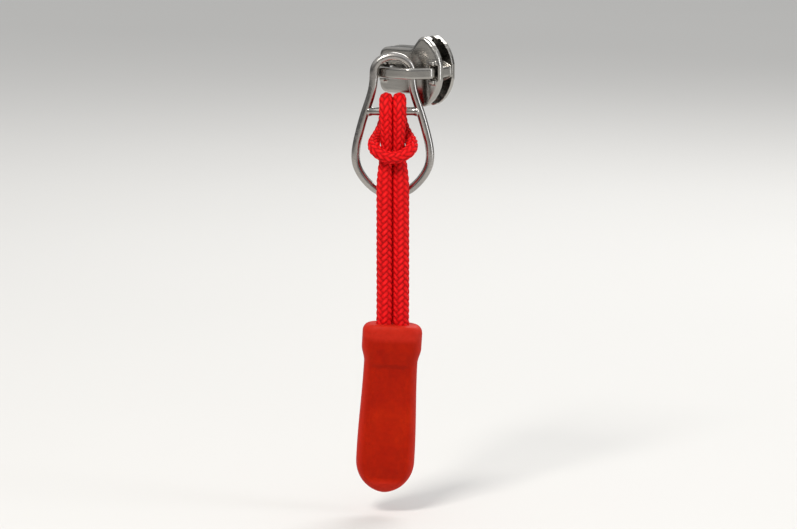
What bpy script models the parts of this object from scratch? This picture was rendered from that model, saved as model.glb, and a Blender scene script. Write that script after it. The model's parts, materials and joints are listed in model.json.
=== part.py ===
"""Cord tag on a bag's zip slider: slider, crown, lock spring, wire bail, hitched cord and moulded grip.

Units are metres and +Z is up. The origin is the middle of the channel that the zip's coil runs through.
The zip runs along X with the slider's nose at +X, +Y points into the bag, and the tag hangs down along -Z.
"""

from math import cos, pi, radians, sin, sqrt

import bmesh
import bpy
from mathutils import Vector

MM = 0.001
GAP = 0.3 * MM  # left between pieces that touch
OVERLAP = 0.2 * MM  # how far shapes that are joined run into each other
BEYOND = 1.0 * MM  # how far a cutter runs past what it cuts

# Slider body: two plates joined by a post at the nose, with lips that keep the coil in
SLIDER_HALF_LENGTH = 6.5 * MM
TAIL_HALF_WIDTH = 4.1 * MM
TAIL_ROUND = 1.6 * MM
SHOULDER_START = 0.4 * MM
SHOULDER_END = 2.4 * MM
SHOULDER_ROUND = 1.2 * MM
SHOULDER_HALF_WIDTH = 6.6 * MM
NOSE_MIDDLE = 1.3 * MM  # the round nose is part of an oval about this place
NOSE_HALF_WIDTH = 6.5 * MM
PLATE_OUTER = 2.6 * MM
CHANNEL_HALF_HEIGHT = 1.4 * MM
TAPE_SLOT_HALF_HEIGHT = 0.65 * MM
LIP_WALL = 0.9 * MM
PLATE_EDGE_ROUND = 0.45 * MM
POST = [  # the wedge between the two channels, from its point to its blunt end: X, half width, rounding
    (1.2 * MM, 0.0, 0.3 * MM),
    (4.4 * MM, 1.7 * MM, 0.8 * MM),
    (6.1 * MM, 0.9 * MM, 0.4 * MM),
]

# Crown: a bent bridge along X, hollow on its inner side for the lock spring
CROWN_OUTER = 7.3 * MM
CROWN_THICK = 1.25 * MM
CROWN_HALF_WIDTH = 1.0 * MM
CROWN_TAIL = -5.9 * MM
CROWN_TAIL_HEIGHT = 5.2 * MM
CROWN_TAIL_SLOPE_END = -5.0 * MM
CROWN_NOSE_SLOPE_START = 2.9 * MM
CROWN_NOSE = 5.6 * MM
CROWN_NOSE_HEIGHT = 3.9 * MM
CROWN_FOOT_LENGTH = 1.0 * MM
CROWN_FOOT_DEPTH = 0.4 * MM
CROWN_GROOVE_HALF_WIDTH = 0.6 * MM
CROWN_GROOVE_DEPTH = 0.8 * MM
CROWN_EDGE_ROUND = 0.35 * MM
CROWN_TAIL_BEND = 1.2 * MM
CROWN_NOSE_BEND = 2.0 * MM
CROWN_NOSE_CORNER = 1.0 * MM
CROWN_INSIDE_BEND = 0.4 * MM
LUG_HEIGHT = 0.9 * MM
LUG_THICK = 0.7 * MM

# Lock spring: a leaf under the crown, with a prong through the front plate into the channel
SPRING_HALF_WIDTH = 0.4 * MM
SPRING_THICK = 0.2 * MM
SPRING_NOSE = 2.6 * MM
SPRING_PIVOT = 2.4 * MM
SPRING_CLEAR_OF_CROWN = 0.1 * MM
PRONG_X = -4.2 * MM
PRONG_THICK = 0.35 * MM
PRONG_REACH = 0.5 * MM
PRONG_WINDOW_HALF = 0.75 * MM
PRONG_FOLD_ROUND = 0.15 * MM
PRONG_TO_GROOVE_END = 0.45 * MM

# Wire bail: a flat wire loop round the crown, turned about Z, with a cross wire for the cord
WIRE_RADIUS = 0.75 * MM
CROSS_WIRE_RADIUS = 0.73 * MM
BAIL_X = -0.8 * MM
BAIL_TURN = radians(34)
BAIL_BEND_HALF_WIDTH = 3.35 * MM
BAIL_BEND_HEIGHT = 2.65 * MM
BAIL_BEND_BASE = 0.3 * MM
CROSS_WIRE_Z = -6.8 * MM
BAIL_SIDE = [  # half width and height, from below the crown to the middle of the bottom
    (3.38, -1.2),
    (3.6, -2.9),
    (4.1, -4.7),
    (4.75, -6.6),
    (5.4, -8.7),
    (5.95, -10.8),
    (6.4, -12.8),
    (6.6, -14.6),
    (6.4, -16.3),
    (5.6, -18.0),
    (4.4, -19.5),
    (3.0, -20.7),
    (1.5, -21.4),
]
BAIL_BOTTOM = -21.6 * MM

# Cord: one length, hitched over the cross wire and pulled tight there, with both ends in the grip
CORD_RADIUS = 1.5 * MM
STRAND_X = 1.55 * MM
STRAND_OUT = 2.4 * MM
CORD_BEND_Z = -33.0 * MM
WRAP_CORD_RADIUS = 1.25
WRAP_RADIUS = 2.15
WRAP_X = 1.3
STRAND_INTO_WRAP = [  # across, towards the bag, height and radius in mm, upwards to the cross wire
    (1.55, -2.4, -24.0, 1.5),
    (1.53, -2.4, -19.5, 1.5),
    (1.43, -2.3, -16.8, 1.36),
    (1.26, -2.2, -14.2, 1.16),
    (1.2, -2.2, -12.4, 1.1),
    (1.22, -2.2, -10.8, 1.13),
    (1.28, -2.15, -8.8, 1.22),
]
BIGHT = [  # the same four, from behind the cross wire to the middle of the front
    (1.35, 2.15, -7.6, 1.22),
    (1.55, 2.1, -8.7, 1.18),
    (1.9, 1.85, -9.7, 1.12),
    (2.35, 1.3, -10.6, 1.1),
    (2.85, 0.45, -11.35, 1.1),
    (3.35, -0.8, -12.0, 1.1),
    (3.52, -2.2, -12.55, 1.1),
    (3.25, -3.45, -13.15, 1.1),
    (2.45, -4.3, -13.8, 1.1),
    (1.25, -4.6, -14.3, 1.1),
]
BIGHT_MIDDLE = (0.0, -4.7, -14.45, 1.1)
CORD_STEP = 1.0
CORD_STRAIGHT_STEP = 6.0
CORD_STRAIGHT = radians(0.5)  # a turn smaller than this between steps counts as straight
TAIL_END_ANGLES = (84, 66, 44, 22)  # rings of the rounded end that turns at the bend

# Grip: a soft moulding with a collar and a hollow panel on each face, leaning a little to one side
GRIP_TOP_Z = -44.4 * MM
GRIP_LENGTH = 30.3 * MM
GRIP_LEAN = radians(3.2)
COLLAR_HEIGHT = 4.0 * MM
COLLAR_HALF_WIDTH = 5.3 * MM
NECK_DEPTH = 6.8 * MM
NECK_HALF_WIDTH = 4.75 * MM
FLARE_DEPTH = 23.0 * MM
FLARE_HALF_WIDTH = 5.2 * MM
END_ROUND_DEPTH = 24.6 * MM
GRIP_HALF_THICK = 3.15 * MM
END_THICK_SHARE = 0.35  # of its thickness, left at the very end
COLLAR_HALF_THICK = 3.3 * MM
COLLAR_EDGE = 1.4 * MM
GRIP_SQUARENESS = 3.0
PANEL_DEPTH = 0.35 * MM
PANEL_TOP = 7.2 * MM
PANEL_BOTTOM = 27.0 * MM
PANEL_EDGE = 1.1 * MM
PANEL_MARGIN = 1.5 * MM
GRIP_AROUND = 40

# Ferrule: a crimped band that holds the two cord ends inside the grip
FERRULE_TOP = 16.0 * MM
FERRULE_HEIGHT = 5.0 * MM
FERRULE_WALL = 0.45 * MM
CORD_END_DEPTH = 22.0 * MM

COLOURS = {
    "nickel": ((0.62, 0.58, 0.54, 1.0), 0.28, 1.0),
    "spring_steel": ((0.45, 0.45, 0.46, 1.0), 0.35, 1.0),
    "cord_red": ((0.72, 0.02, 0.02, 1.0), 0.7, 0.0),
    "grip_rubber": ((0.42, 0.03, 0.008, 1.0), 0.55, 0.0),
    "ferrule_brass": ((0.7, 0.52, 0.25, 1.0), 0.4, 1.0),
}


def clear_scene():
    for item in list(bpy.data.objects):
        bpy.data.objects.remove(item, do_unlink=True)


def material(name):
    colour, roughness, metallic = COLOURS[name]
    made = bpy.data.materials.get(name) or bpy.data.materials.new(name)
    made.use_nodes = True
    shader = made.node_tree.nodes["Principled BSDF"]
    shader.inputs["Base Color"].default_value = colour
    shader.inputs["Roughness"].default_value = roughness
    shader.inputs["Metallic"].default_value = metallic
    made.diffuse_color = colour
    return made


def place(data, name, parent=None, finish=None):
    made = bpy.data.objects.new(name, data)
    bpy.context.scene.collection.objects.link(made)
    made.parent = parent
    if finish:
        made.data.materials.append(material(finish))
    return made


def pivot(name, location, turn=(0, 0, 0), parent=None):
    made = place(None, name, parent)
    made.location = location
    made.rotation_euler = turn
    return made


def mesh_from(bm, name):
    bmesh.ops.recalc_face_normals(bm, faces=bm.faces)
    mesh = bpy.data.meshes.new(name)
    bm.to_mesh(mesh)
    bm.free()
    return mesh


def rounded_outline(corners, steps=4):
    """The points of a closed outline whose corners (a, b, radius) are rounded with arcs."""
    points = []
    for i, (a, b, radius) in enumerate(corners):
        here = Vector((a, b))
        before = (Vector(corners[i - 1][:2]) - here).normalized()
        after = (Vector(corners[(i + 1) % len(corners)][:2]) - here).normalized()
        if not radius:
            points.append(here)
            continue
        half = before.angle(after) / 2
        middle = here + (before + after).normalized() * radius / sin(half)
        reach = sqrt((middle - here).length_squared - radius**2)
        start = here + before * reach - middle
        sweep = start.angle_signed(here + after * reach - middle)
        for k in range(steps + 1):
            turn = -sweep * k / steps
            points.append(
                middle
                + Vector(
                    (
                        start.x * cos(turn) - start.y * sin(turn),
                        start.x * sin(turn) + start.y * cos(turn),
                    )
                )
            )
    return points


def prism(outline, low, high, along, edge=0.0):
    """The solid between low and high of an outline: (x, z) along Y, or (x, y) along Z."""
    bm = bmesh.new()

    def corner(p, level):
        return bm.verts.new((p[0], level, p[1]) if along == "Y" else (p[0], p[1], level))

    rims = []
    for level in (low, high):
        ring = [corner(p, level) for p in outline]
        rims.append(bm.faces.new(ring))
    for i in range(len(outline)):
        a, b = rims[0].verts[i - 1], rims[0].verts[i]
        c, d = rims[1].verts[i], rims[1].verts[i - 1]
        bm.faces.new((a, b, c, d))
    bmesh.ops.recalc_face_normals(bm, faces=bm.faces)
    if edge:
        edges = {e for face in rims for e in face.edges}
        bmesh.ops.bevel(bm, geom=list(edges), offset=edge, segments=2, profile=0.5, affect="EDGES")
    return bm


def box(low, high):
    outline = [(low[0], low[2]), (high[0], low[2]), (high[0], high[2]), (low[0], high[2])]
    return prism(outline, low[1], high[1], "Y")


def cut(target, shape, name, operation="DIFFERENCE"):
    """Cuts a shape out of the target, or joins it to it, and keeps the shape as a hidden guide."""
    guide = place(mesh_from(shape, name), name, target.parent)
    guide.hide_render = True
    guide.display_type = "WIRE"
    step = target.modifiers.new(name, "BOOLEAN")
    step.operation = operation
    step.object = guide


def shade(item, angle=radians(35)):
    item.data.shade_smooth()
    item.data.set_sharp_from_angle(angle=angle)


def mirrored(half):
    """A closed outline from its upper half, which runs from tail to nose."""
    return half + [(x, -z, r) for x, z, r in reversed(half)]


def plate_outline():
    """A shield: narrow at the tail, widest at the shoulders, with an oval nose."""
    nose = [
        (
            NOSE_MIDDLE + (SLIDER_HALF_LENGTH - NOSE_MIDDLE) * cos(radians(a)),
            NOSE_HALF_WIDTH * sin(radians(a)),
            0,
        )
        for a in range(60, 0, -12)
    ]
    return rounded_outline(
        mirrored(
            [
                (-SLIDER_HALF_LENGTH, TAIL_HALF_WIDTH, TAIL_ROUND),
                (SHOULDER_START, TAIL_HALF_WIDTH, SHOULDER_ROUND),
                (SHOULDER_END, SHOULDER_HALF_WIDTH, SHOULDER_ROUND),
                *nose,
            ]
        ),
        6,
    )


def channel_outline():
    """Inside the side lips and running past both ends, so the two mouths at the nose are open."""
    narrow = TAIL_HALF_WIDTH - LIP_WALL
    wide = SHOULDER_HALF_WIDTH - LIP_WALL
    return rounded_outline(
        mirrored(
            [
                (-SLIDER_HALF_LENGTH - BEYOND, narrow, 0),
                (SHOULDER_START, narrow, SHOULDER_ROUND),
                (SHOULDER_END, wide, SHOULDER_ROUND),
                (SLIDER_HALF_LENGTH + BEYOND, wide, 0),
            ]
        )
    )


def slider_body():
    body = place(
        mesh_from(
            prism(plate_outline(), -PLATE_OUTER, PLATE_OUTER, "Y", PLATE_EDGE_ROUND),
            "slider_body",
        ),
        "slider_body",
        finish="nickel",
    )
    channel = prism(channel_outline(), -CHANNEL_HALF_HEIGHT, CHANNEL_HALF_HEIGHT, "Y")
    cut(body, channel, "channel_cutter")
    past_end, past_side = SLIDER_HALF_LENGTH + BEYOND, SHOULDER_HALF_WIDTH + BEYOND
    slot = box(
        (-past_end, -TAPE_SLOT_HALF_HEIGHT, -past_side),
        (past_end, TAPE_SLOT_HALF_HEIGHT, past_side),
    )
    cut(body, slot, "tape_slot_cutter")
    post = rounded_outline(POST[:1] + mirrored(POST[1:]))
    reach = CHANNEL_HALF_HEIGHT + OVERLAP
    cut(body, prism(post, -reach, reach, "Y"), "post_shape", "UNION")
    for end, low, high in crown_feet():
        inner = CROWN_HALF_WIDTH + GAP
        for side in (-1, 1):
            z = sorted((side * inner, side * (inner + LUG_THICK)))
            lug = box(
                (low, -PLATE_OUTER - LUG_HEIGHT, z[0]), (high, -PLATE_OUTER + OVERLAP, z[1])
            )
            cut(body, lug, f"{end}_lug_{'upper' if side > 0 else 'lower'}_shape", "UNION")
        pocket = box(
            (low - GAP, -PLATE_OUTER - BEYOND, -inner),
            (high + GAP, -PLATE_OUTER + CROWN_FOOT_DEPTH + GAP, inner),
        )
        cut(body, pocket, f"{end}_pocket_cutter")
    window = box(
        (PRONG_X - PRONG_WINDOW_HALF, -PLATE_OUTER - BEYOND, -PRONG_WINDOW_HALF),
        (PRONG_X + PRONG_WINDOW_HALF, -CHANNEL_HALF_HEIGHT + OVERLAP, PRONG_WINDOW_HALF),
    )
    cut(body, window, "prong_window_cutter")
    shade(body)


def crown_feet():
    """Where the crown's two feet meet the plate: name, lowest X and highest X."""
    return [
        ("tail", CROWN_TAIL, CROWN_TAIL + CROWN_FOOT_LENGTH),
        ("nose", CROWN_NOSE - CROWN_FOOT_LENGTH, CROWN_NOSE),
    ]


def slider_crown():
    foot = -PLATE_OUTER + CROWN_FOOT_DEPTH
    inner = CROWN_OUTER - CROWN_THICK
    tail_inside = CROWN_TAIL + CROWN_FOOT_LENGTH
    nose_inside = CROWN_NOSE - CROWN_FOOT_LENGTH
    side = rounded_outline(
        [
            (CROWN_TAIL, foot, 0),
            (CROWN_TAIL, -CROWN_TAIL_HEIGHT, CROWN_TAIL_BEND),
            (CROWN_TAIL_SLOPE_END, -CROWN_OUTER, CROWN_TAIL_BEND),
            (CROWN_NOSE_SLOPE_START, -CROWN_OUTER, CROWN_NOSE_BEND),
            (CROWN_NOSE, -CROWN_NOSE_HEIGHT, CROWN_NOSE_CORNER),
            (CROWN_NOSE, foot, 0),
            (nose_inside, foot, 0),
            (nose_inside, -CROWN_NOSE_HEIGHT + CROWN_FOOT_DEPTH, CROWN_INSIDE_BEND),
            (CROWN_NOSE_SLOPE_START, -inner, 2 * CROWN_INSIDE_BEND),
            (tail_inside, -inner, CROWN_INSIDE_BEND),
            (tail_inside, foot, 0),
        ]
    )
    crown = place(
        mesh_from(
            prism(side, -CROWN_HALF_WIDTH, CROWN_HALF_WIDTH, "Z", CROWN_EDGE_ROUND),
            "slider_crown",
        ),
        "slider_crown",
        finish="nickel",
    )
    groove = box(
        (PRONG_X - PRONG_TO_GROOVE_END, -inner - CROWN_GROOVE_DEPTH, -CROWN_GROOVE_HALF_WIDTH),
        (SPRING_NOSE + GAP, -inner + BEYOND, CROWN_GROOVE_HALF_WIDTH),
    )
    cut(crown, groove, "spring_groove_cutter")
    shade(crown)


def lock_spring():
    """The leaf lies in the mouth of the crown's groove, and its tail end is folded into the prong."""
    leaf = CROWN_OUTER - CROWN_THICK + SPRING_CLEAR_OF_CROWN
    tip = -CHANNEL_HALF_HEIGHT + PRONG_REACH
    axis = pivot("lock_pivot", (SPRING_PIVOT, -leaf, 0))
    side = [
        (x - SPRING_PIVOT, y + leaf, r)
        for x, y, r in (
            (SPRING_NOSE, -leaf - SPRING_THICK / 2, 0),
            (SPRING_NOSE, -leaf + SPRING_THICK / 2, 0),
            (PRONG_X + PRONG_THICK / 2, -leaf + SPRING_THICK / 2, PRONG_FOLD_ROUND),
            (PRONG_X + PRONG_THICK / 2, tip, PRONG_FOLD_ROUND),
            (PRONG_X - PRONG_THICK / 2, tip, PRONG_FOLD_ROUND),
            (PRONG_X - PRONG_THICK / 2, -leaf - SPRING_THICK / 2, PRONG_FOLD_ROUND),
        )
    ]
    spring = place(
        mesh_from(
            prism(rounded_outline(side), -SPRING_HALF_WIDTH, SPRING_HALF_WIDTH, "Z"),
            "lock_spring",
        ),
        "lock_spring",
        axis,
        "spring_steel",
    )
    shade(spring)


def smooth_route(points, step, closed=False):
    """Points about a step apart on a Catmull-Rom curve through the route's own points."""
    route = [Vector(p) for p in points]
    if closed:
        route = [route[-1], *route, route[0], route[1]]
    else:
        route = [2 * route[0] - route[1], *route, 2 * route[-1] - route[-2]]
    found = []
    for a, b, c, d in zip(route, route[1:], route[2:], route[3:]):
        count = max(1, round((c - b).length / step))
        for k in range(count):
            t = k / count
            found.append(
                (
                    2 * b
                    + (c - a) * t
                    + (2 * a - 5 * b + 4 * c - d) * t**2
                    + (3 * b - a - 3 * c + d) * t**3
                )
                / 2
            )
    if not closed:
        found.append(route[-2])
    return found


def tube(name, points, radius, resolution, closed=False, radii=None):
    """A round tube along the points, as a curve with filled caps."""
    curve = bpy.data.curves.new(name, "CURVE")
    curve.dimensions = "3D"
    curve.bevel_depth = radius
    curve.bevel_resolution = resolution
    curve.use_fill_caps = not closed
    spline = curve.splines.new("POLY")
    spline.points.add(len(points) - 1)
    for i, (point, place_at) in enumerate(zip(spline.points, points)):
        point.co = (*place_at, 1)
        point.radius = radii[i] if radii else 1.0
    spline.use_cyclic_u = closed
    return curve


def tube_mesh(name, points, radius, resolution, closed=False):
    """The same tube as a mesh, which a Boolean can join."""
    guide = place(tube(name + "_route", points, radius, resolution, closed), name + "_route")
    bpy.context.view_layer.update()
    mesh = bpy.data.meshes.new_from_object(
        guide.evaluated_get(bpy.context.evaluated_depsgraph_get())
    )
    bpy.data.objects.remove(guide)
    mesh.name = name
    return mesh


def bail_route():
    """Right side, then left: an oval bend over the crown, the two legs and the rounded bottom."""
    bend = [
        (
            BAIL_BEND_HALF_WIDTH * cos(radians(a)),
            0,
            BAIL_BEND_BASE + BAIL_BEND_HEIGHT * sin(radians(a)),
        )
        for a in range(0, 91, 15)
    ]
    side = [(x * MM, 0, z * MM) for x, z in BAIL_SIDE]
    half = list(reversed(bend)) + side
    other = [(-x, y, z) for x, y, z in reversed(half[1:])]
    return half + [(0, 0, BAIL_BOTTOM)] + other


def half_width_at(height):
    """The bail's half width at a height, read from its side's own points."""
    for (x_a, z_a), (x_b, z_b) in zip(BAIL_SIDE, BAIL_SIDE[1:]):
        if z_b * MM <= height <= z_a * MM:
            share = (height - z_a * MM) / ((z_b - z_a) * MM)
            return (x_a + (x_b - x_a) * share) * MM


def wire_bail():
    axis = pivot("bail_pivot", (BAIL_X, -crown_middle(), 0), (0, 0, BAIL_TURN))
    ring = tube_mesh(
        "wire_bail", smooth_route(bail_route(), 0.9 * MM, closed=True), WIRE_RADIUS, 4, closed=True
    )
    bail = place(ring, "wire_bail", axis, "nickel")
    reach = half_width_at(CROSS_WIRE_Z)
    bar = tube_mesh(
        "cross_wire", [(-reach, 0, CROSS_WIRE_Z), (reach, 0, CROSS_WIRE_Z)], CROSS_WIRE_RADIUS, 4
    )
    bm = bmesh.new()
    bm.from_mesh(bar)
    cut(bail, bm, "cross_wire_shape", "UNION")
    shade(bail)
    return axis


def crown_middle():
    """How far in front of the channel's middle the middle of the crown's bridge is."""
    return CROWN_OUTER - CROWN_THICK / 2


def hitch_route():
    """The left strand up over the cross wire, round as the bight, and down the right strand.

    The points are in millimetres, and each has the cord's radius there as its fourth value.
    """
    bend_start = (CORD_BEND_Z + CORD_RADIUS + GAP) / MM
    wrap = [
        (
            WRAP_X,
            -WRAP_RADIUS * cos(radians(a)),
            CROSS_WIRE_Z / MM + WRAP_RADIUS * sin(radians(a)),
            WRAP_CORD_RADIUS,
        )
        for a in range(0, 181, 20)
    ]
    start = (STRAND_X / MM, -STRAND_OUT / MM, bend_start, CORD_RADIUS / MM)
    right = [start, *STRAND_INTO_WRAP, *wrap, *BIGHT]
    left = [(-x, y, z, r) for x, y, z, r in right]
    return left + [BIGHT_MIDDLE] + list(reversed(right))


def thinned(points, longest):
    """The route with the points of its straight strands spread out."""
    kept = [points[0]]
    for before, here, after in zip(points, points[1:], points[2:]):
        bend = (here - before).to_3d().angle((after - here).to_3d())
        if bend > CORD_STRAIGHT or (here - kept[-1]).length > longest:
            kept.append(here)
    return kept + [points[-1]]


def cord_hitch(bail_axis):
    axis = pivot("cord_pivot", (0, 0, CROSS_WIRE_Z), parent=bail_axis)
    points = thinned(smooth_route(hitch_route(), CORD_STEP), CORD_STRAIGHT_STEP)
    local = [p.to_3d() * MM - Vector((0, 0, CROSS_WIRE_Z)) for p in points]
    radii = [p.w * MM / CORD_RADIUS for p in points]
    curve = tube("cord_hitch", local, CORD_RADIUS, 2, radii=radii)
    place(curve, "cord_hitch", axis, "cord_red")
    return axis


def tail_route(side):
    """From the bend down into the grip, following its lean inside it. Zero height is the bend."""
    mouth = GRIP_TOP_Z - CORD_BEND_Z
    lean_point = Vector((0, 0, mouth))
    dome = [(side * STRAND_X, 0, CORD_RADIUS * sin(radians(a))) for a in TAIL_END_ANGLES]
    radii = [cos(radians(a)) for a in TAIL_END_ANGLES]
    free = [(side * STRAND_X, 0, z) for z in (0, mouth / 3, 2 * mouth / 3, mouth + 1 * MM)]
    held = []
    for depth in (0.1 * CORD_END_DEPTH, 0.4 * CORD_END_DEPTH, 0.7 * CORD_END_DEPTH, CORD_END_DEPTH):
        along = Vector((-sin(GRIP_LEAN), 0, -cos(GRIP_LEAN))) * depth
        across = Vector((cos(GRIP_LEAN), 0, -sin(GRIP_LEAN))) * side * STRAND_X
        held.append(lean_point + along + across)
    return [Vector(p) for p in dome + free] + held, radii + [1.0] * (len(free) + len(held))


def cord_tails(cord_axis):
    axis = pivot(
        "bend_pivot", (0, -STRAND_OUT, CORD_BEND_Z - CROSS_WIRE_Z), parent=cord_axis
    )
    for name, side in (("left", -1), ("right", 1)):
        points, radii = tail_route(side)
        curve = tube(f"cord_tail_{name}", points, CORD_RADIUS, 2, radii=radii)
        place(curve, f"cord_tail_{name}", axis, "cord_red")
    return axis


def ease(value):
    value = min(1.0, max(0.0, value))
    return value * value * (3 - 2 * value)


def grip_half_width(depth):
    if depth <= COLLAR_HEIGHT:
        return COLLAR_HALF_WIDTH
    if depth <= NECK_DEPTH:
        share = ease((depth - COLLAR_HEIGHT) / (NECK_DEPTH - COLLAR_HEIGHT))
        return COLLAR_HALF_WIDTH + (NECK_HALF_WIDTH - COLLAR_HALF_WIDTH) * share
    share = ease((depth - NECK_DEPTH) / (FLARE_DEPTH - NECK_DEPTH))
    return NECK_HALF_WIDTH + (FLARE_HALF_WIDTH - NECK_HALF_WIDTH) * share


def grip_half_thick(depth):
    share = ease((depth - COLLAR_HEIGHT) / (NECK_DEPTH - COLLAR_HEIGHT))
    return COLLAR_HALF_THICK + (GRIP_HALF_THICK - COLLAR_HALF_THICK) * share


def end_share(depth):
    """How much of its full section the grip still has at a depth, near its two ends."""
    if depth < COLLAR_EDGE:
        drop = 1 - depth / COLLAR_EDGE
        return 1 - COLLAR_EDGE / COLLAR_HALF_WIDTH * (1 - sqrt(1 - drop**2))
    if depth > END_ROUND_DEPTH:
        along = (depth - END_ROUND_DEPTH) / (GRIP_LENGTH - END_ROUND_DEPTH)
        return sqrt(max(0.0, 1 - along**2))
    return 1.0


def panel_drop(x, depth, half_width):
    """How deep the hollow panel is at a point of the face."""
    inside_x = (half_width - PANEL_MARGIN - abs(x)) / PANEL_EDGE
    inside_z = min(depth - PANEL_TOP, PANEL_BOTTOM - depth) / PANEL_EDGE
    return PANEL_DEPTH * ease(inside_x + 0.5) * ease(inside_z + 0.5)


def grip_section(depth):
    """A rounded-rectangle section, with the panel's hollow pressed into both faces."""
    share = end_share(depth)
    half_width = grip_half_width(depth) * share
    half_thick = grip_half_thick(depth) * (END_THICK_SHARE + (1 - END_THICK_SHARE) * share)
    section = []
    for i in range(GRIP_AROUND):
        angle = 2 * pi * i / GRIP_AROUND
        c, s = cos(angle), sin(angle)
        x = half_width * abs(c) ** (2 / GRIP_SQUARENESS) * (1 if c > 0 else -1)
        y = half_thick * abs(s) ** (2 / GRIP_SQUARENESS) * (1 if s > 0 else -1)
        pressed = panel_drop(x, depth, half_width) * abs(s) ** 0.5
        y -= pressed * (1 if y > 0 else -1)
        section.append((x, y, -depth))
    return section


def grip_depths():
    rim = [COLLAR_EDGE * share for share in (0.0, 0.3, 0.65, 1.0)]
    collar = [COLLAR_HEIGHT + (NECK_DEPTH - COLLAR_HEIGHT) * k / 4 for k in range(5)]
    body = [NECK_DEPTH + (END_ROUND_DEPTH - NECK_DEPTH) * k / 14 for k in range(1, 15)]
    end = [
        END_ROUND_DEPTH + (GRIP_LENGTH - END_ROUND_DEPTH) * sin(radians(a))
        for a in (20, 38, 54, 68, 80, 88)
    ]
    return rim + collar + body + end


def stadium(half_width, half_thick, low, high):
    """A slot-shaped solid between two depths below the grip's mouth."""
    outline = rounded_outline(
        [
            (x, y, half_thick * 0.98)
            for x, y in (
                (-half_width, -half_thick),
                (half_width, -half_thick),
                (half_width, half_thick),
                (-half_width, half_thick),
            )
        ],
        6,
    )
    return prism(outline, -high, -low, "Z")


def grip(bend_axis):
    axis = pivot(
        "grip_mouth", (0, 0, GRIP_TOP_Z - CORD_BEND_Z), (0, GRIP_LEAN, 0), parent=bend_axis
    )
    bm = bmesh.new()
    rings = [[bm.verts.new(p) for p in grip_section(depth)] for depth in grip_depths()]
    for upper, lower in zip(rings, rings[1:]):
        for i in range(GRIP_AROUND):
            bm.faces.new((upper[i - 1], upper[i], lower[i], lower[i - 1]))
    bm.faces.new(rings[0])
    bm.faces.new(rings[-1])
    body = place(mesh_from(bm, "grip"), "grip", axis, "grip_rubber")
    cord_hole = stadium(
        STRAND_X + CORD_RADIUS + GAP, CORD_RADIUS + GAP, -BEYOND, CORD_END_DEPTH + GAP
    )
    cut(body, cord_hole, "cord_hole_cutter")
    clear = FERRULE_WALL + 2 * GAP
    room = stadium(
        STRAND_X + CORD_RADIUS + clear,
        CORD_RADIUS + clear,
        FERRULE_TOP - GAP,
        FERRULE_TOP + FERRULE_HEIGHT + GAP,
    )
    cut(body, room, "ferrule_room_cutter")
    shade(body)
    return axis


def cord_ferrule(grip_axis):
    outer = stadium(
        STRAND_X + CORD_RADIUS + GAP + FERRULE_WALL,
        CORD_RADIUS + GAP + FERRULE_WALL,
        FERRULE_TOP,
        FERRULE_TOP + FERRULE_HEIGHT,
    )
    band = place(mesh_from(outer, "cord_ferrule"), "cord_ferrule", grip_axis, "ferrule_brass")
    inner = stadium(
        STRAND_X + CORD_RADIUS + GAP,
        CORD_RADIUS + GAP,
        FERRULE_TOP - BEYOND,
        FERRULE_TOP + FERRULE_HEIGHT + BEYOND,
    )
    cut(band, inner, "ferrule_bore_cutter")
    shade(band)


def main():
    clear_scene()
    slider_body()
    slider_crown()
    lock_spring()
    bail_axis = wire_bail()
    cord_axis = cord_hitch(bail_axis)
    bend_axis = cord_tails(cord_axis)
    grip_axis = grip(bend_axis)
    cord_ferrule(grip_axis)


main()
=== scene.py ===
"""The looks of the cord tag: plated slider and wire bail, braided cord with its hitch, moulded grip."""

import json
from math import ceil, copysign, cos, pi, radians, sin, sqrt

import bmesh
import bpy
import numpy as np
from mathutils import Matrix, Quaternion, Vector


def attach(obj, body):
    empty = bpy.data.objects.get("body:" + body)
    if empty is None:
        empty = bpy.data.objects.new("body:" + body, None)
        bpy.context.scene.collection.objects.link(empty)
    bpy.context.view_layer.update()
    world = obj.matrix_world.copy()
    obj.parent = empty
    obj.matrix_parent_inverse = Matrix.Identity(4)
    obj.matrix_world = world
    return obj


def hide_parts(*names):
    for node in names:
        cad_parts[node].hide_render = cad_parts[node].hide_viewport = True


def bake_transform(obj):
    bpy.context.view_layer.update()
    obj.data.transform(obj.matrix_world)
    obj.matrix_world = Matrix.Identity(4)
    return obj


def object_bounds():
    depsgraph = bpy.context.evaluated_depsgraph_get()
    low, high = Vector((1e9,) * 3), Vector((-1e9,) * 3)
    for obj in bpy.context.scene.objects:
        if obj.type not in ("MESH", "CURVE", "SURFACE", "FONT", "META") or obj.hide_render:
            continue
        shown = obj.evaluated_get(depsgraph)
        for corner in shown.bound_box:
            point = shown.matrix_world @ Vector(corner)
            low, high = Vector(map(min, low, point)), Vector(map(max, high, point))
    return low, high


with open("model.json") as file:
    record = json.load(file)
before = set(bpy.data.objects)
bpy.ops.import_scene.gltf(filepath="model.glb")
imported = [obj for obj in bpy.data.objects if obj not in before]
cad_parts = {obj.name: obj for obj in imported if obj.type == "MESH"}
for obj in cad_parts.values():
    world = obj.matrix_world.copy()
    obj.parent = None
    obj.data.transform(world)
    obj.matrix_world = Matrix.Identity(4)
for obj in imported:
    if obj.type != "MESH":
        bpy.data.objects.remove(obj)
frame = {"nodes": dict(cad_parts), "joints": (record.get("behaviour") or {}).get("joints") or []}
CAD_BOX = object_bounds()
MM = 0.001

# ---- Places read from the frame ----

JOINTS = {joint["name"]: joint for joint in frame["joints"]}
BAIL_ORIGIN = Vector(JOINTS["bail_swing"]["pos_m"])
CROSS_WIRE = Vector(JOINTS["hitch_swing"]["pos_m"])
ACROSS = -Vector(JOINTS["hitch_swing"]["axis"]).normalized()
UP = Vector((0, 0, 1))
INWARD = UP.cross(ACROSS)

# ---- Sizes in millimetres, the same as the CAD's ----

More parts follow.
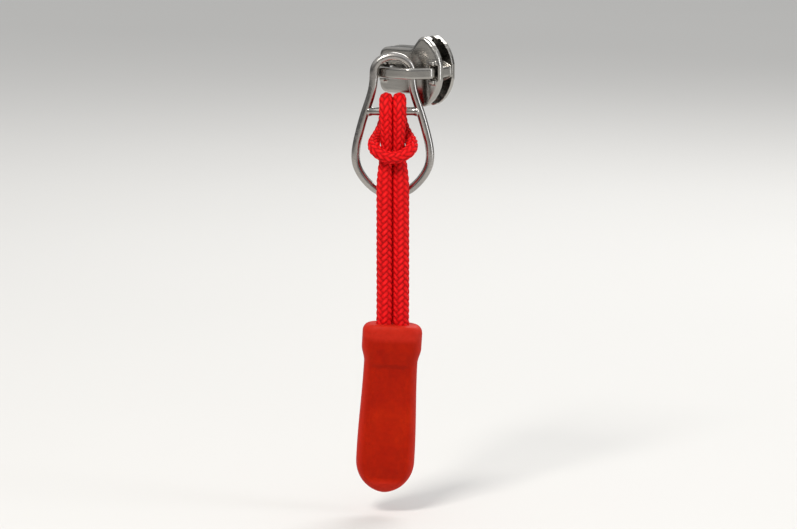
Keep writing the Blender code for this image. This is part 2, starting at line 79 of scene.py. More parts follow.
WIRE_RADIUS, CROSS_WIRE_RADIUS = 0.75, 0.73
BAIL_BEND_HALF_WIDTH, BAIL_BEND_HEIGHT, BAIL_BEND_BASE = 3.35, 2.65, 0.3
BAIL_SIDE = [
    (3.38, -1.2),
    (3.6, -2.9),
    (4.1, -4.7),
    (4.75, -6.6),
    (5.4, -8.7),
    (5.95, -10.8),
    (6.4, -12.8),
    (6.6, -14.6),
    (6.4, -16.3),
    (5.6, -18.0),
    (4.4, -19.5),
    (3.0, -20.7),
    (1.5, -21.4),
]
BAIL_BOTTOM = -21.6
CORD_RADIUS = 1.5
STRAND_X, STRAND_OUT = 1.55, 2.4
WRAP_CORD_RADIUS, WRAP_RADIUS, WRAP_X = 1.25, 2.15, 1.3
STRAND_INTO_WRAP = [
    (1.55, -2.4, -24.0, 1.5),
    (1.53, -2.4, -19.5, 1.5),
    (1.43, -2.3, -16.8, 1.36),
    (1.26, -2.2, -14.2, 1.16),
    (1.2, -2.2, -12.4, 1.1),
    (1.22, -2.2, -10.8, 1.13),
    (1.28, -2.15, -8.8, 1.22),
]
BIGHT = [
    (1.35, 2.15, -7.6, 1.22),
    (1.55, 2.1, -8.7, 1.18),
    (1.9, 1.85, -9.7, 1.12),
    (2.35, 1.3, -10.6, 1.1),
    (2.85, 0.45, -11.35, 1.1),
    (3.35, -0.8, -12.0, 1.1),
    (3.52, -2.2, -12.55, 1.1),
    (3.25, -3.45, -13.15, 1.1),
    (2.45, -4.3, -13.8, 1.1),
    (1.25, -4.6, -14.3, 1.1),
]
BIGHT_MIDDLE = (0.0, -4.7, -14.45, 1.1)
GRIP_TOP = -44.4
GRIP_LEAN = radians(3.2)
GRIP_LENGTH = 30.3
CORD_END_DEPTH = 22.0
COLLAR_HEIGHT, COLLAR_HALF_WIDTH, COLLAR_HALF_THICK, COLLAR_EDGE = 4.0, 5.3, 3.3, 1.4
NECK_DEPTH, NECK_HALF_WIDTH = 6.8, 4.75
FLARE_DEPTH, FLARE_HALF_WIDTH = 23.0, 5.2
END_ROUND_DEPTH = 24.6
GRIP_HALF_THICK, END_THICK_SHARE = 3.15, 0.35
GRIP_SQUARENESS = 3.0
PANEL_TOP = 7.2
PANEL_DEPTH, PANEL_EDGE, PANEL_MARGIN = 0.35, 1.1, 1.5

# ---- Sizes in millimetres that only the fine shapes have ----

STRAND_HEIGHTS = (-40, -34, -28)  # of the route's points in the strands' straight stretch
HELD_DEPTHS = (CORD_END_DEPTH, 16, 10, 5, 1.5)  # and of those inside the grip
PANEL_BOTTOM = 28.0  # the panel ends 1 mm lower than on the CAD solid
# how far the painted highlight reaches on the grip's collar, rims and end
PAINTED_HIGHLIGHT_COLLAR, PAINTED_HIGHLIGHT_COLLAR_FADE = 3.2, 1.2
PAINTED_HIGHLIGHT_RIM_START, PAINTED_HIGHLIGHT_RIM_FADE = 0.72, 0.25  # shares of the grip's half width
PAINTED_HIGHLIGHT_RIM_AMOUNT = 0.85
PAINTED_HIGHLIGHT_END_ABOVE_PANEL, PAINTED_HIGHLIGHT_END_FADE = 0.6, 1.4
WELD_HEIGHT, WELD_FROM_END = 0.2, 0.5
WELD_OUTER_LENGTH, WELD_INNER_LENGTH = 0.25, 0.5
WIRE_END_SUNK, WIRE_END_SUNK_LENGTH = 0.08, 0.25
BRAID_STRANDS = 8
BRAID_LEAD = 9.0
BRAID_RELIEF = 0.17
BRAID_RISE = 1.15 * BRAID_RELIEF
RIB_SIDE_ROUNDING, RIB_END_ROUNDING = 0.6, 0.4  # powers: less is flatter on top
FILAMENTS_ACROSS_RIB = 7
DRAWN_IN = 0.15  # how far the squeezed strands are drawn towards each other
PRESSED_OVERLAP = 0.03
PRESSED_HALF_WIDTH = 1.9  # strands further out than this don't touch
PRESSED_FRONT = -3.5  # only the bight is further out in front than this

# ---- How fine the meshes are, in millimetres and counts ----

ROUTE_STEP = 0.3
BAIL_RING_STEP, BAIL_SIDES, BAIL_SOFTENING = 0.25, 28, 10
CROSS_WIRE_RINGS, CROSS_WIRE_SIDES = 121, 24
CORD_RING_STEP, CORD_SIDES, CORD_SOFTENING = 0.14, 64, 12
GRIP_SIDES, GRIP_BODY_RINGS, GRIP_END_RINGS = 128, 150, 44
GRIP_RIM_STEP = 9  # degrees


def bail_point(x, y, z):
    """A point of the bail's own frame, in millimetres, as a place in the row frame."""
    return BAIL_ORIGIN + (ACROSS * x + INWARD * y + UP * z) * MM


# ---- Node materials ----


class Shader:
    """A material's node tree, with short calls for the few nodes used here."""

    def __init__(self, name):
        self.material = bpy.data.materials.new(name)
        self.material.use_nodes = True
        self.nodes = self.material.node_tree.nodes
        self.links = self.material.node_tree.links
        self.surface = self.nodes["Principled BSDF"]
        self.place = self.nodes.new("ShaderNodeTexCoord").outputs["Object"]

    def set(self, **values):
        for key, value in values.items():
            self.surface.inputs[key.replace("_", " ")].default_value = value

    def add(self, kind, inputs=None, **settings):
        node = self.nodes.new(kind)
        for key, value in settings.items():
            setattr(node, key, value)
        for key, value in (inputs or {}).items():
            if isinstance(value, bpy.types.NodeSocket):
                self.links.new(value, node.inputs[key])
            else:
                node.inputs[key].default_value = value
        return node

    def math(self, operation, a, b=0.0):
        return self.add("ShaderNodeMath", {0: a, 1: b}, operation=operation).outputs[0]

    def about_zero(self, value, amount):
        """A noise's swing about its middle, so that adding it changes no average."""
        return self.math("MULTIPLY", self.math("SUBTRACT", value, 0.5), amount)

    def rising(self, value, low, rise):
        """From low where the value is 0 to low + rise where it is 1."""
        return self.math("ADD", self.math("MULTIPLY", value, rise), low)

    def ramp(self, factor, stops):
        node = self.add("ShaderNodeValToRGB", {"Fac": factor})
        elements = node.color_ramp.elements
        while len(elements) < len(stops):
            elements.new(0.5)
        for element, (position, colour) in zip(elements, stops):
            element.position = position
            element.color = (*colour, 1)
        return node.outputs["Color"]

    def noise(self, scale, detail=3.0, roughness=0.5, vector=None):
        """Noise at a point's place on its object, which stays put in every view and pose."""
        inputs = {"Vector": vector or self.place, "Scale": scale, "Detail": detail}
        return self.add("ShaderNodeTexNoise", {**inputs, "Roughness": roughness}).outputs["Fac"]

    def stretched(self, scale):
        inputs = {"Vector": self.place, "Scale": scale}
        return self.add("ShaderNodeMapping", inputs).outputs["Vector"]

    def mix(self, factor, first, second):
        inputs = {"Fac": factor, "Color1": first, "Color2": second}
        return self.add("ShaderNodeMixRGB", inputs).outputs["Color"]

    def multiply(self, first, second):
        inputs = {"Fac": 1.0, "Color1": first, "Color2": second}
        return self.add("ShaderNodeMixRGB", inputs, blend_type="MULTIPLY").outputs["Color"]

    def attribute(self, name):
        return self.add("ShaderNodeAttribute", attribute_name=name).outputs["Fac"]

    def bump(self, *layers):
        """Bump layers (height, strength, distance in mm), each on top of the one before."""
        below = None
        for height, strength, distance in layers:
            inputs = {"Height": height, "Strength": strength, "Distance": distance * MM}
            if below:
                inputs["Normal"] = below
            below = self.add("ShaderNodeBump", inputs).outputs["Normal"]
        self.links.new(below, self.surface.inputs["Normal"])

    def link(self, output, name):
        self.links.new(output, self.surface.inputs[name])


def plated_metal(name, tint, roughness, grain):
    """Nickel plate: casting waves, hairline scratches, painted shade in the hollows and lighter edges,
    partly wear and partly a painted highlight.
    """
    shader = Shader(name)
    shader.set(Metallic=1.0)
    waves = shader.noise(420, detail=3.0, roughness=0.55)
    cloud = shader.noise(160, detail=4.0, roughness=0.6)
    along_zip = shader.stretched((0.25, 1.0, 3.5))
    hairs = shader.noise(700, detail=2.0, roughness=0.5, vector=along_zip)
    darker = [c * 0.8 for c in tint]
    lighter = [c * 1.08 for c in tint]
    tone = shader.ramp(cloud, [(0.3, darker), (0.55, tint), (0.8, lighter)])
    edge = shader.add("ShaderNodeNewGeometry").outputs["Pointiness"]
    # painted shade: the hollows, found by pointiness, are darkened in the colour
    hollow_shade = shader.ramp(edge, [(0.4, (0.35, 0.33, 0.3)), (0.49, (1, 1, 1))])
    # lighter edges: partly polishing wear, partly a painted highlight
    worn_edge_highlight = shader.ramp(edge, [(0.52, (0, 0, 0)), (0.62, (1, 1, 1))])
    # the painted shade and the lighter edges go into the base colour
    shaded_tone = shader.multiply(tone, hollow_shade)
    shade_and_edge_highlight = shader.mix(shader.math("MULTIPLY", worn_edge_highlight, 0.5), shaded_tone, (0.85, 0.81, 0.74, 1))
    shader.link(shade_and_edge_highlight, "Base Color")
    uneven = shader.math("ADD", shader.about_zero(cloud, 0.3), shader.about_zero(hairs, 0.25))
    shader.link(shader.math("ADD", uneven, roughness), "Roughness")
    shader.bump((waves, 0.3 * grain, 0.06), (hairs, 0.15 * grain, 0.02))
    return shader.material


def spring_steel():
    shader = Shader("spring_steel")
    shader.set(Metallic=1.0)
    along_leaf = shader.stretched((0.15, 1.0, 4.0))
    lines = shader.noise(900, detail=2.0, roughness=0.5, vector=along_leaf)
    tone = shader.ramp(lines, [(0.3, (0.3, 0.31, 0.33)), (0.7, (0.5, 0.5, 0.5))])
    shader.link(tone, "Base Color")
    shader.link(shader.rising(lines, low=0.2, rise=0.3), "Roughness")
    shader.bump((lines, 0.2, 0.02))
    return shader.material


def ferrule_brass():
    shader = Shader("ferrule_brass")
    shader.set(Metallic=1.0, Roughness=0.38)
    cloud = shader.noise(500)
    shader.link(shader.ramp(cloud, [(0.3, (0.5, 0.34, 0.13)), (0.7, (0.76, 0.58, 0.3))]), "Base Color")
    shader.bump((shader.noise(1500), 0.2, 0.03))
    return shader.material


def braided_cord():
    """Each rib is a flat bundle of filaments. The grooves between the ribs are painted darker, as
    shade.
    """
    shader = Shader("braided_cord")
    shader.set(Roughness=0.6, Specular_IOR_Level=0.12)
    shader.set(Sheen_Weight=0.04, Sheen_Roughness=0.4, Sheen_Tint=(1.0, 0.15, 0.12, 1))
    shader.set(Subsurface_Weight=0.1, Subsurface_Radius=(0.0012, 0.0002, 0.0001), Subsurface_Scale=0.4)
    height = shader.attribute("rib_height")
    across = shader.attribute("rib_across")
    fibre = shader.noise(2600, detail=2.0, roughness=0.6)
    cloud = shader.noise(220, detail=3.0, roughness=0.6)
    # painted shade: darker the lower the braid lies between its ribs, lighter on the rib tops
    groove_shaded_colour = shader.ramp(
        shader.math("ADD", height, shader.about_zero(fibre, 0.4)),
        [
            (0.0, (0.2, 0.0, 0.0005)),
            (0.45, (0.58, 0.001, 0.002)),
            (0.8, (0.78, 0.003, 0.005)),
            (1.0, (0.88, 0.01, 0.012)),
        ],
    )
    shade = shader.ramp(cloud, [(0.3, (0.85, 0.85, 0.85)), (0.7, (1.0, 1.0, 1.0))])
    shader.link(shader.multiply(groove_shaded_colour, shade), "Base Color")
    filaments = shader.math("SINE", shader.math("MULTIPLY", across, 2 * pi * FILAMENTS_ACROSS_RIB))
    shader.bump((filaments, 0.35, 0.03), (fibre, 0.4, 0.03))
    return shader.material


def moulded_rubber():
    """Soft orange-red moulding with a fine eroded grain, with a painted highlight on its collar, rims
    and end.
    """
    shader = Shader("moulded_rubber")
    shader.set(Specular_IOR_Level=0.08)
    shader.set(Subsurface_Weight=0.1, Subsurface_Radius=(0.0015, 0.0003, 0.0001), Subsurface_Scale=0.4)
    rim = shader.attribute("rim")
    cloud = shader.noise(140, detail=4.0, roughness=0.6)
    grain = shader.noise(3600, detail=2.0, roughness=0.6)
    pits = shader.noise(1300, detail=3.0, roughness=0.65)
    body = shader.ramp(
        cloud,
        [(0.25, (0.3, 0.005, 0.0)), (0.6, (0.4, 0.011, 0.0)), (0.85, (0.48, 0.018, 0.0003))],
    )
    speckle = shader.ramp(pits, [(0.35, (0.86, 0.86, 0.86)), (0.65, (1.0, 1.0, 1.0))])
    # painted highlight: the collar, rims and end, read from the rim attribute, are lightened in the
    # colour
    painted_highlight = shader.math("MULTIPLY", rim, shader.rising(pits, low=0.35, rise=0.7))
    colour = shader.mix(painted_highlight, shader.multiply(body, speckle), (0.5, 0.02, 0.009, 1))
    shader.link(colour, "Base Color")
    shader.link(shader.rising(pits, low=0.4, rise=0.25), "Roughness")
    shader.bump((pits, 0.3, 0.06), (grain, 0.4, 0.03))
    return shader.material


def pale_surface(name, colour):
    shader = Shader(name)
    shader.set(Roughness=0.85)
    cloud = shader.noise(6, detail=2.0, roughness=0.5)
    darker = [c * 0.985 for c in colour]
    shader.link(shader.ramp(cloud, [(0.3, darker), (0.7, colour)]), "Base Color")
    return shader.material


# ---- Mesh tools ----


def add_mesh(name, verts, faces, material, body=None):
    """A smooth mesh whose faces point outwards, with its material and, if one is given, its body."""
    mesh = bpy.data.meshes.new(name)
    mesh.from_pydata([tuple(v) for v in verts], [], [tuple(f) for f in faces])
    mesh.validate()
    bm = bmesh.new()
    bm.from_mesh(mesh)
    bmesh.ops.recalc_face_normals(bm, faces=bm.faces)
    bm.to_mesh(mesh)
    bm.free()
    mesh.shade_smooth()
    made = bpy.data.objects.new(name, mesh)
    bpy.context.scene.collection.objects.link(made)
    made.data.materials.append(material)
    if body:
        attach(made, body)
    return made


def smooth_route(points, step, closed=False):
    """Points about a step apart on a Catmull-Rom curve through the route's own points."""
    route = [Vector(p) for p in points]
    if closed:
        route = [route[-1], *route, route[0], route[1]]
    else:
        route = [2 * route[0] - route[1], *route, 2 * route[-1] - route[-2]]
    found = []
    for a, b, c, d in zip(route, route[1:], route[2:], route[3:]):
        count = max(1, ceil((c - b).length / step))
        for k in range(count):
            t = k / count
            found.append(
                (
                    2 * b
                    + (c - a) * t
                    + (2 * a - 5 * b + 4 * c - d) * t**2
                    + (3 * b - a - 3 * c + d) * t**3
                )
                / 2
            )
    if not closed:
        found.append(route[-2])
    return found


def lengths_along(line):
    """How far along a route each of its points is."""
    steps = np.linalg.norm(np.diff(line, axis=0), axis=1)
    return np.concatenate([[0], np.cumsum(steps)])


def evenly_spaced(points, step, closed=False):
    """The route again, with its points the same distance apart, as an array."""
    line = np.array([tuple(p) for p in points])
    if closed:
        line = np.vstack([line, line[:1]])
    along = lengths_along(line[:, :3])
    count = max(4, round(along[-1] / step))
    at = np.linspace(0, along[-1], count + 1)
    even = np.stack([np.interp(at, along, column) for column in line.T], axis=1)
    return even[:-1] if closed else even


def softened(line, closed, times):
    """Rounds off what is left of the corners between a route's own points."""
    for _ in range(times):
        if closed:
            line = (np.roll(line, 1, 0) + 2 * line + np.roll(line, -1, 0)) / 4
        else:
            line[1:-1] = (line[:-2] + 2 * line[1:-1] + line[2:]) / 4
    return line


def ring_frames(line, closed):
    """Two unit directions across the route at each point, turning as little as they can."""
    ahead = np.roll(line, -1, 0) - np.roll(line, 1, 0)
    if not closed:
        ahead[0], ahead[-1] = line[1] - line[0], line[-1] - line[-2]
    ahead /= np.linalg.norm(ahead, axis=1)[:, None]
    side = Vector(ahead[0]).orthogonal().normalized()
    first = []
    for before, here in zip([ahead[0], *ahead], ahead):
        side = Vector(before).rotation_difference(Vector(here)) @ side
        side = (side - Vector(here) * side.dot(Vector(here))).normalized()
        first.append(tuple(side))
    first = np.array(first)
    if closed:  # the twist between the last ring and the first is spread over all of them
        start, end = Vector(first[0]), Vector(first[-1])
        drift = end.angle(start) * (1 if end.cross(start).dot(Vector(ahead[0])) > 0 else -1)
        for i, direction in enumerate(ahead):
            turn = Quaternion(Vector(direction), drift * i / len(line))
            first[i] = tuple(turn @ Vector(first[i]))
    return first, np.cross(ahead, first)


def ring_faces(rings, sides, closed=False):
    """The quads between rings of points, and a cap on each end unless the rings close up."""
    faces = [
        (
            i * sides + k,
            i * sides + (k + 1) % sides,
            (i + 1) % rings * sides + (k + 1) % sides,
            (i + 1) % rings * sides + k,
        )
        for i in range(rings if closed else rings - 1)
        for k in range(sides)
    ]
    if not closed:
        faces.append(tuple(reversed(range(sides))))
        faces.append(tuple(range((rings - 1) * sides, rings * sides)))
    return faces


def tube(name, line, radius, sides, material, body=None, closed=False):
    """A round tube along a route. radius is a number, or an array with one row for each ring."""
    first, second = ring_frames(line, closed)
    angles = 2 * pi * np.arange(sides)[None, :, None] / sides
    across = np.cos(angles) * first[:, None] + np.sin(angles) * second[:, None]
    reach = np.broadcast_to(np.asarray(radius, float), (len(line), sides))
    verts = (line[:, None] + across * reach[:, :, None]).reshape(-1, 3)
    return add_mesh(name, verts, ring_faces(len(line), sides, closed), material, body)


# ---- Wire bail ----


def bail_route():
    """Right side, then left: an oval bend over the crown, the two legs and the rounded bottom."""
    bend = [
        (
            BAIL_BEND_HALF_WIDTH * cos(radians(a)),
            BAIL_BEND_BASE + BAIL_BEND_HEIGHT * sin(radians(a)),
        )
        for a in range(0, 91, 15)
    ]
    half = list(reversed(bend)) + BAIL_SIDE
    left = [(-x, z) for x, z in reversed(half[1:])]
    return [bail_point(x, 0, z) for x, z in half + [(0, BAIL_BOTTOM)] + left]


def half_width_at(height):
    """The bail's half width at a height, read from its side's own points."""
    widths, heights = zip(*reversed(BAIL_SIDE))
    return float(np.interp(height, heights, widths))


def bail_ring(material):
    """The wire loop."""
    route = smooth_route(bail_route(), ROUTE_STEP * MM, closed=True)
    route = evenly_spaced(route, BAIL_RING_STEP * MM, closed=True)
    line = softened(route, closed=True, times=BAIL_SOFTENING)
    radius = WIRE_RADIUS * MM
    ring = tube("bail_wire", line, radius, BAIL_SIDES, material, "bail", closed=True)
    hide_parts("wire_bail")


def cross_wire(material):
    """The bar across the loop, with the weld's bead near each end, which sinks into the loop's wire."""
    height = (CROSS_WIRE - BAIL_ORIGIN).dot(UP) / MM
    reach = half_width_at(height)
    places = np.linspace(-reach, reach, CROSS_WIRE_RINGS)
    line = np.array([tuple(bail_point(x, 0, height)) for x in places])
    from_end = reach - np.abs(places)
    from_bead = from_end - WELD_FROM_END
    bead_length = np.where(from_bead < 0, WELD_OUTER_LENGTH, WELD_INNER_LENGTH)
    bead = WELD_HEIGHT * np.exp(-((from_bead / bead_length) ** 2))
    sunk = WIRE_END_SUNK * np.exp(-((from_end / WIRE_END_SUNK_LENGTH) ** 2))
    radius = ((CROSS_WIRE_RADIUS + bead - sunk) * MM)[:, None]
    tube("bail_cross_wire", line, radius, CROSS_WIRE_SIDES, material, "bail")


# ---- Cord ----


def held_end(side):
    """One end of the cord inside the grip, from its tip up to the grip's mouth."""
    points = []
    for depth in HELD_DEPTHS:
        x = side * STRAND_X * cos(GRIP_LEAN) - depth * sin(GRIP_LEAN)
        z = GRIP_TOP - side * STRAND_X * sin(GRIP_LEAN) - depth * cos(GRIP_LEAN)
        points.append((x, -STRAND_OUT, z, CORD_RADIUS))
    return points


def cord_route():
    """From its left end in the grip, up, over the cross wire, round as the bight and back down.

    Each point is across, towards the bag, height and the cord's radius there.
    """
    height = (CROSS_WIRE - BAIL_ORIGIN).z / MM
    wrap = [
        (
            WRAP_X,
            -WRAP_RADIUS * cos(radians(a)),
            height + WRAP_RADIUS * sin(radians(a)),
            WRAP_CORD_RADIUS,
        )
        for a in range(0, 181, 20)
    ]
    strand = [(STRAND_X, -STRAND_OUT, z, CORD_RADIUS) for z in STRAND_HEIGHTS]
    right = [*strand, *STRAND_INTO_WRAP, *wrap, *BIGHT]
    left = [(-x, y, z, r) for x, y, z, r in right]
    return held_end(-1) + left + [BIGHT_MIDDLE] + right[::-1] + held_end(1)[::-1]


def braid(turn, along):
    """Height and place across the rib of a two-over two-under braid, at a turn and a length."""
    a = BRAID_STRANDS * (turn + along / BRAID_LEAD)
    b = BRAID_STRANDS * (turn - along / BRAID_LEAD)
    cell = np.mod(np.floor(a) + np.floor(b), 4)
    part_a, part_b = np.mod(a, 1), np.mod(b, 1)
    over = cell < 2
    across = np.where(over, part_a, part_b)
    stretch = np.where(over, (cell + part_b) / 2, (cell - 2 + part_a) / 2)
    side_height = np.sin(pi * across).clip(0) ** RIB_SIDE_ROUNDING
    end_height = np.sin(pi * stretch).clip(0) ** RIB_END_ROUNDING
    return side_height * end_height, across


def beside(route):
    """Where the two strands lie side by side, which leaves out the bight and the ends in the grip."""
    near = np.abs(route[:, 0]) < PRESSED_HALF_WIDTH
    return near & (route[:, 1] > PRESSED_FRONT) & (route[:, 2] > GRIP_TOP)


def flatten_between(piece, rings, pressed):
    """Flattens the strands against each other, on the plane half way between them."""
    verts = np.empty(len(piece.data.vertices) * 3)
    piece.data.vertices.foreach_get("co", verts)
    verts = verts.reshape(rings, -1, 3)
    across = np.array(ACROSS)
    out = (verts - np.array(BAIL_ORIGIN)) @ across
    side = np.sign(out.mean(axis=1))[:, None]
    short = (-PRESSED_OVERLAP * MM - side * out).clip(0) * pressed[:, None]
    verts += (short * side)[:, :, None] * across
    piece.data.vertices.foreach_set("co", verts.reshape(-1))
    piece.data.update()


def add_point_values(piece, name, values):
    """One number for each vertex, which a material reads by its name."""
    layer = piece.data.attributes.new(name, "FLOAT", "POINT")
    layer.data.foreach_set("value", np.asarray(values, np.float32).reshape(-1))


def cord(material):
    """The whole cord as one braided tube, drawn in and flattened where the strands meet."""
    route = evenly_spaced(smooth_route(cord_route(), ROUTE_STEP), CORD_RING_STEP)
    pressed = beside(route)
    side = route[:, 0].clip(-1, 1)  # changes smoothly where the bight crosses the middle
    route[:, 0] -= side * DRAWN_IN * (route[:, 2] > GRIP_TOP)
    route = softened(route, closed=False, times=CORD_SOFTENING)
    line = np.array([tuple(bail_point(*p[:3])) for p in route])
    along = lengths_along(line)
    turn = np.arange(CORD_SIDES) / CORD_SIDES
    height, across = braid(turn[None, :], along[:, None] / MM)
    radius = (route[:, 3:] - BRAID_RELIEF + BRAID_RISE * height) * MM
    piece = tube("cord", line, radius, CORD_SIDES, material)
    flatten_between(piece, len(line), pressed)
    add_point_values(piece, "rib_height", height)
    add_point_values(piece, "rib_across", across)
    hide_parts("cord_hitch", "cord_tail_left", "cord_tail_right")
    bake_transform(piece)


# ---- Grip ----


def ease(value):
    """A smooth step from 0 to 1."""
    value = min(1.0, max(0.0, value))
    return value * value * (3 - 2 * value)


def grip_half_width(depth):
    """The collar, the neck below it and the slow flare towards the end."""
    if depth <= NECK_DEPTH:
        share = ease((depth - COLLAR_HEIGHT) / (NECK_DEPTH - COLLAR_HEIGHT))
        return COLLAR_HALF_WIDTH + (NECK_HALF_WIDTH - COLLAR_HALF_WIDTH) * share
    share = ease((depth - NECK_DEPTH) / (FLARE_DEPTH - NECK_DEPTH))
    return NECK_HALF_WIDTH + (FLARE_HALF_WIDTH - NECK_HALF_WIDTH) * share


def grip_half_thick(depth):
    share = ease((depth - COLLAR_HEIGHT) / (NECK_DEPTH - COLLAR_HEIGHT))
    return COLLAR_HALF_THICK + (GRIP_HALF_THICK - COLLAR_HALF_THICK) * share


def grip_depths():
    """How deep each ring is: round the mouth's rim, down the sides and round the end."""
    rim = [COLLAR_EDGE * (1 - cos(radians(a))) for a in range(0, 91, GRIP_RIM_STEP)]
    body = list(np.linspace(COLLAR_EDGE, END_ROUND_DEPTH, GRIP_BODY_RINGS)[1:])
    end_length = GRIP_LENGTH - END_ROUND_DEPTH
    turns = np.linspace(2, 88, GRIP_END_RINGS)
    return rim + body + [END_ROUND_DEPTH + end_length * sin(radians(a)) for a in turns]


def end_share(depth):
    """How much of its full section the grip still has at a depth, near its two ends."""
    if depth < COLLAR_EDGE:
        drop = 1 - depth / COLLAR_EDGE
        return 1 - COLLAR_EDGE / COLLAR_HALF_WIDTH * (1 - sqrt(max(0.0, 1 - drop**2)))
    if depth > END_ROUND_DEPTH:
        along = (depth - END_ROUND_DEPTH) / (GRIP_LENGTH - END_ROUND_DEPTH)
        return sqrt(max(0.0, 1 - along**2))
    return 1.0


def panel_share(x, depth, half_width):
    """1 on the floor of the pressed panel and 0 outside it."""
    inside_x = (half_width - PANEL_MARGIN - abs(x)) / PANEL_EDGE
    inside_z = min(depth - PANEL_TOP, PANEL_BOTTOM - depth) / PANEL_EDGE
    return ease(inside_x + 0.5) * ease(inside_z + 0.5)


def painted_highlight_share(x, depth, half_width):
    """How much painted highlight lightens the surface: on the collar, along the sides, at the end."""
    collar = ease((PAINTED_HIGHLIGHT_COLLAR - depth) / PAINTED_HIGHLIGHT_COLLAR_FADE)
    out = abs(x) / max(half_width, 0.1)
    rim = ease((out - PAINTED_HIGHLIGHT_RIM_START) / PAINTED_HIGHLIGHT_RIM_FADE) * PAINTED_HIGHLIGHT_RIM_AMOUNT
    end = ease((depth - PANEL_BOTTOM + PAINTED_HIGHLIGHT_END_ABOVE_PANEL) / PAINTED_HIGHLIGHT_END_FADE)
    return max(collar, rim, end)


def squared(value):
    """A unit circle's coordinate, moved out towards a rounded square's."""
    return copysign(abs(value) ** (2 / GRIP_SQUARENESS), value)


def grip(material):
    """The moulding as rings from the rim of its mouth down to its rounded end."""
    origin = bail_point(0, -STRAND_OUT, GRIP_TOP)
    down = -UP * cos(GRIP_LEAN) - ACROSS * sin(GRIP_LEAN)
    over = ACROSS * cos(GRIP_LEAN) - UP * sin(GRIP_LEAN)
    verts, painted_highlights = [], []
    depths = grip_depths()
    for depth in depths:
        share = end_share(depth)
        half_width = grip_half_width(depth) * share
        half_thick = grip_half_thick(depth) * (END_THICK_SHARE + (1 - END_THICK_SHARE) * share)
        for k in range(GRIP_SIDES):
            angle = 2 * pi * k / GRIP_SIDES
            x = half_width * squared(cos(angle))
            y = half_thick * squared(sin(angle))
            panel = panel_share(x, depth, half_width)
            y -= copysign(PANEL_DEPTH * panel * sqrt(abs(sin(angle))), y)
            verts.append(origin + (over * x + INWARD * y + down * depth) * MM)
            # the painted highlight's share, none on the panel's floor
            painted_highlights.append(painted_highlight_share(x, depth, half_width) * (1 - panel))
    faces = ring_faces(len(depths), GRIP_SIDES)
    piece = add_mesh("grip_moulding", verts, faces, material)
    # the rim attribute carries the painted highlight's share
    add_point_values(piece, "rim", painted_highlights)
    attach(piece, "grip_end")
    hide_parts("grip")


# ---- Cast slider and crown ----


def as_cast(node, name, material, voxel, smoothing):
    """The CAD node's own shape, with its edges and corners softened as casting and polishing do."""
    source = frame["nodes"][node]
    mesh = source.data.copy()
    mesh.transform(source.matrix_world)
    piece = bpy.data.objects.new(name, mesh)
    bpy.context.scene.collection.objects.link(piece)
    remesh = piece.modifiers.new("remesh", "REMESH")
    remesh.mode = "VOXEL"
    remesh.voxel_size = voxel * MM
    smooth = piece.modifiers.new("smooth", "SMOOTH")
    smooth.iterations = smoothing
    bpy.context.view_layer.update()
    evaluated = piece.evaluated_get(bpy.context.evaluated_depsgraph_get())
    made = bpy.data.meshes.new_from_object(evaluated)
    piece.modifiers.clear()
    piece.data = made
    made.materials.clear()
    made.materials.append(material)
    made.shade_smooth()
    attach(piece, "slider")
    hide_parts(node)


# ---- CAD nodes that stay ----


def finish_nodes(materials):
    for node, material in materials.items():
        item = frame["nodes"][node]
        item.data.materials.clear()
        item.data.materials.append(material)


# ---- Studio ----


def look_at(item, target):
    item.rotation_euler = (target - item.location).to_track_quat("-Z", "Y").to_euler()


def area_light(name, location, target, size, power, colour):
    lamp = bpy.data.lights.new(name, "AREA")
    lamp.shape = "RECTANGLE"
    lamp.size, lamp.size_y = size
    lamp.energy = power
    lamp.color = colour
    made = bpy.data.objects.new(name, lamp)
    bpy.context.scene.collection.objects.link(made)
    made.location = location
    look_at(made, target)


CAMERA_AZIMUTH, CAMERA_ELEVATION = 34, 9
CAMERA_DISTANCE = 0.62
FRAME_HEIGHT = 0.094  # what the picture's height takes in at the tag, in metres
SENSOR_WIDTH = 36.0
ASPECT = 797 / 529
FLOOR_BELOW_TAG, FLOOR_REACH = 0.004, 3.0
SKY_STOPS = ((0.0, 0.16), (0.12, 0.2), (0.45, 0.8), (1.0, 1.0))  # from the horizon to overhead
SKY_STRENGTH = 0.85
LIGHTS = [  # name, azimuth and elevation in degrees, distance and size in metres, power, colour
    ("key", 5, 48, 0.7, (0.2, 0.2), 3.6, (1.0, 0.97, 0.93)),
    ("fill", 105, 15, 0.6, (0.2, 0.4), 1.1, (0.93, 0.96, 1.0)),
    ("back", 190, 40, 0.6, (0.4, 0.2), 1.6, (1.0, 1.0, 1.0)),
]


def seen_from(azimuth, elevation):
    """The direction from the tag to a place at an azimuth and elevation, in degrees."""
    turn, rise = radians(azimuth), radians(elevation)
    return Vector((sin(turn) * cos(rise), -cos(turn) * cos(rise), sin(rise)))


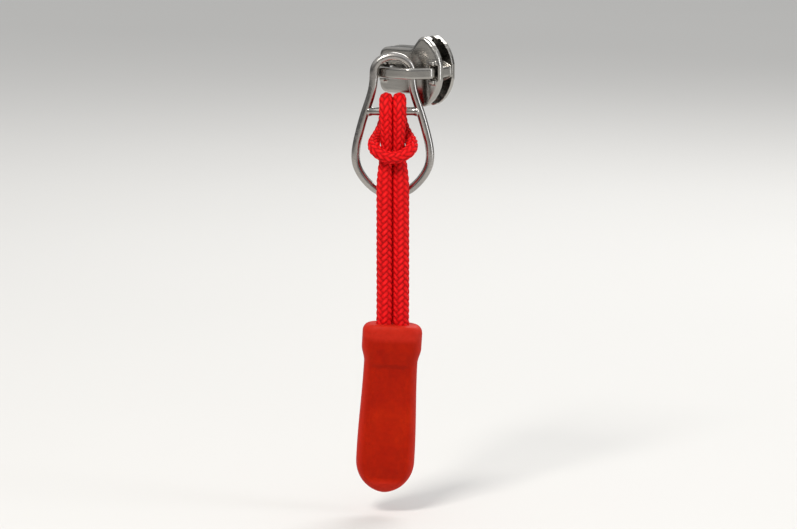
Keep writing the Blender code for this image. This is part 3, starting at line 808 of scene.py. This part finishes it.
def sky():
    """Soft light from overhead and a darker band at eye level, which the polished metal mirrors."""
    world = bpy.data.worlds.new("studio_sky")
    world.use_nodes = True
    nodes, links = world.node_tree.nodes, world.node_tree.links
    height = nodes.new("ShaderNodeSeparateXYZ")
    links.new(nodes.new("ShaderNodeTexCoord").outputs["Generated"], height.inputs[0])
    ramp = nodes.new("ShaderNodeValToRGB")
    links.new(height.outputs["Z"], ramp.inputs["Fac"])
    elements = ramp.color_ramp.elements
    while len(elements) < len(SKY_STOPS):
        elements.new(0.5)
    for element, (position, level) in zip(elements, SKY_STOPS):
        element.position = position
        element.color = (level * 0.98, level * 0.99, level, 1)
    links.new(ramp.outputs["Color"], nodes["Background"].inputs["Color"])
    nodes["Background"].inputs["Strength"].default_value = SKY_STRENGTH
    return world


def set_camera(target):
    data = bpy.data.cameras.new("camera")
    data.sensor_width = SENSOR_WIDTH
    data.lens = SENSOR_WIDTH * CAMERA_DISTANCE / (FRAME_HEIGHT * ASPECT)
    data.clip_start = 0.01
    camera = bpy.data.objects.new("camera", data)
    bpy.context.scene.collection.objects.link(camera)
    camera.location = target + seen_from(CAMERA_AZIMUTH, CAMERA_ELEVATION) * CAMERA_DISTANCE
    look_at(camera, target)
    bpy.context.scene.camera = camera


def lay_floor(level):
    corners = ((-1, -1), (1, -1), (1, 1), (-1, 1))
    floor = add_mesh(
        "floor",
        [(FLOOR_REACH * x, FLOOR_REACH * y, level) for x, y in corners],
        [(0, 1, 2, 3)],
        pale_surface("pale_floor", (0.62, 0.61, 0.59)),
    )


def studio():
    low, high = (Vector(corner) for corner in CAD_BOX)
    middle = (low + high) / 2
    set_camera(middle)
    lay_floor(low.z - FLOOR_BELOW_TAG)
    bpy.context.scene.world = sky()
    for name, azimuth, elevation, distance, size, power, colour in LIGHTS:
        place = middle + seen_from(azimuth, elevation) * distance
        area_light(name, place, middle, size, power, colour)
    bpy.context.scene.view_settings.view_transform = "Standard"


def main():
    nickel = plated_metal("nickel_plate", tint=(0.38, 0.365, 0.34), roughness=0.2, grain=1.0)
    wire = plated_metal("nickel_wire", tint=(0.37, 0.35, 0.33), roughness=0.24, grain=0.7)
    studio()
    cord(braided_cord())
    grip(moulded_rubber())
    bail_ring(wire)
    cross_wire(wire)
    as_cast("slider_body", "slider_casting", nickel, voxel=0.11, smoothing=6)
    as_cast("slider_crown", "crown_casting", nickel, voxel=0.07, smoothing=5)
    finish_nodes({"lock_spring": spring_steel(), "cord_ferrule": ferrule_brass()})


main()
